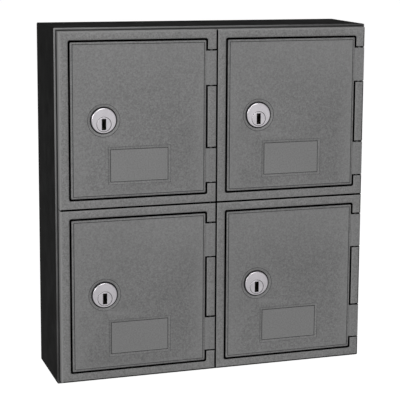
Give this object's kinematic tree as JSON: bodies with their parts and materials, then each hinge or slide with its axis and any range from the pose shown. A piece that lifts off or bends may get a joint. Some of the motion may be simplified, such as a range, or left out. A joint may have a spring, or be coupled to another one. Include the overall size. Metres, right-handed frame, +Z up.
{
  "type": "locker cabinet",
  "caption": "Small wall-mounted steel locker cabinet with hinged cast doors in a two by two grid, each with a cam lock and a label recess.",
  "frame": {"origin": "centre of the bounding box in x and y, at the underside of the case", "axes": "+Z up, -Y out of the door faces, +X to the right as seen by someone facing the doors"},
  "size_m": [0.284, 0.0828, 0.3094],
  "materials": {
    "case_paint": "satin black powder coat",
    "cast_grey": "matte fine-textured grey coat",
    "lock_chrome": "satin nickel plate",
    "zinc_steel": "zinc plate",
    "brass": "plain"
  },
  "bodies": {
    "case": {"side_panel_left": "case_paint", "side_panel_right": "case_paint", "top_panel": "case_paint", "bottom_panel": "case_paint", "back_panel": "case_paint", "face_plate": "case_paint", "shelf": "case_paint", "divider_upper": "case_paint", "divider_lower": "case_paint", "frame_screws": "zinc_steel", "door_frame_lower_left": "cast_grey", "hinge_pin_lower_left": "zinc_steel", "door_frame_lower_right": "cast_grey", "hinge_pin_lower_right": "zinc_steel", "door_frame_upper_left": "cast_grey", "hinge_pin_upper_left": "zinc_steel", "door_frame_upper_right": "cast_grey", "hinge_pin_upper_right": "zinc_steel"},
    "door_lower_left": {"door_lower_left": "cast_grey", "lock_cylinder_lower_left": "lock_chrome", "lock_nut_lower_left": "zinc_steel"},
    "lock_lower_left": {"lock_plug_lower_left": "lock_chrome", "lock_wafers_lower_left": "brass", "lock_cam_lower_left": "zinc_steel", "cam_screw_lower_left": "zinc_steel"},
    "door_lower_right": {"door_lower_right": "cast_grey", "lock_cylinder_lower_right": "lock_chrome", "lock_nut_lower_right": "zinc_steel"},
    "lock_lower_right": {"lock_plug_lower_right": "lock_chrome", "lock_wafers_lower_right": "brass", "lock_cam_lower_right": "zinc_steel", "cam_screw_lower_right": "zinc_steel"},
    "door_upper_left": {"door_upper_left": "cast_grey", "lock_cylinder_upper_left": "lock_chrome", "lock_nut_upper_left": "zinc_steel"},
    "lock_upper_left": {"lock_plug_upper_left": "lock_chrome", "lock_wafers_upper_left": "brass", "lock_cam_upper_left": "zinc_steel", "cam_screw_upper_left": "zinc_steel"},
    "door_upper_right": {"door_upper_right": "cast_grey", "lock_cylinder_upper_right": "lock_chrome", "lock_nut_upper_right": "zinc_steel"},
    "lock_upper_right": {"lock_plug_upper_right": "lock_chrome", "lock_wafers_upper_right": "brass", "lock_cam_upper_right": "zinc_steel", "cam_screw_upper_right": "zinc_steel"}
  },
  "joints": [
    {"name": "door_lower_left_hinge", "type": "hinge", "parent": "case", "child": "door_lower_left", "pos_m": [-0.0045, -0.0372, 0.0785], "axis": [0, 0, 1], "range_deg": [0, 100]},
    {"name": "lock_lower_left_turn", "type": "hinge", "parent": "door_lower_left", "child": "lock_lower_left", "pos_m": [-0.1013, -0.0406, 0.0753], "axis": [0, 1, 0], "range_deg": [0, 90]},
    {"name": "door_lower_right_hinge", "type": "hinge", "parent": "case", "child": "door_lower_right", "pos_m": [0.1352, -0.0372, 0.0785], "axis": [0, 0, 1], "range_deg": [0, 100]},
    {"name": "lock_lower_right_turn", "type": "hinge", "parent": "door_lower_right", "child": "lock_lower_right", "pos_m": [0.0384, -0.0406, 0.0753], "axis": [0, 1, 0], "range_deg": [0, 90]},
    {"name": "door_upper_left_hinge", "type": "hinge", "parent": "case", "child": "door_upper_left", "pos_m": [-0.0045, -0.0372, 0.2309], "axis": [0, 0, 1], "range_deg": [0, 100]},
    {"name": "lock_upper_left_turn", "type": "hinge", "parent": "door_upper_left", "child": "lock_upper_left", "pos_m": [-0.1013, -0.0406, 0.2277], "axis": [0, 1, 0], "range_deg": [0, 90]},
    {"name": "door_upper_right_hinge", "type": "hinge", "parent": "case", "child": "door_upper_right", "pos_m": [0.1352, -0.0372, 0.2309], "axis": [0, 0, 1], "range_deg": [0, 100]},
    {"name": "lock_upper_right_turn", "type": "hinge", "parent": "door_upper_right", "child": "lock_upper_right", "pos_m": [0.0384, -0.0406, 0.2277], "axis": [0, 1, 0], "range_deg": [0, 90]}
  ]
}
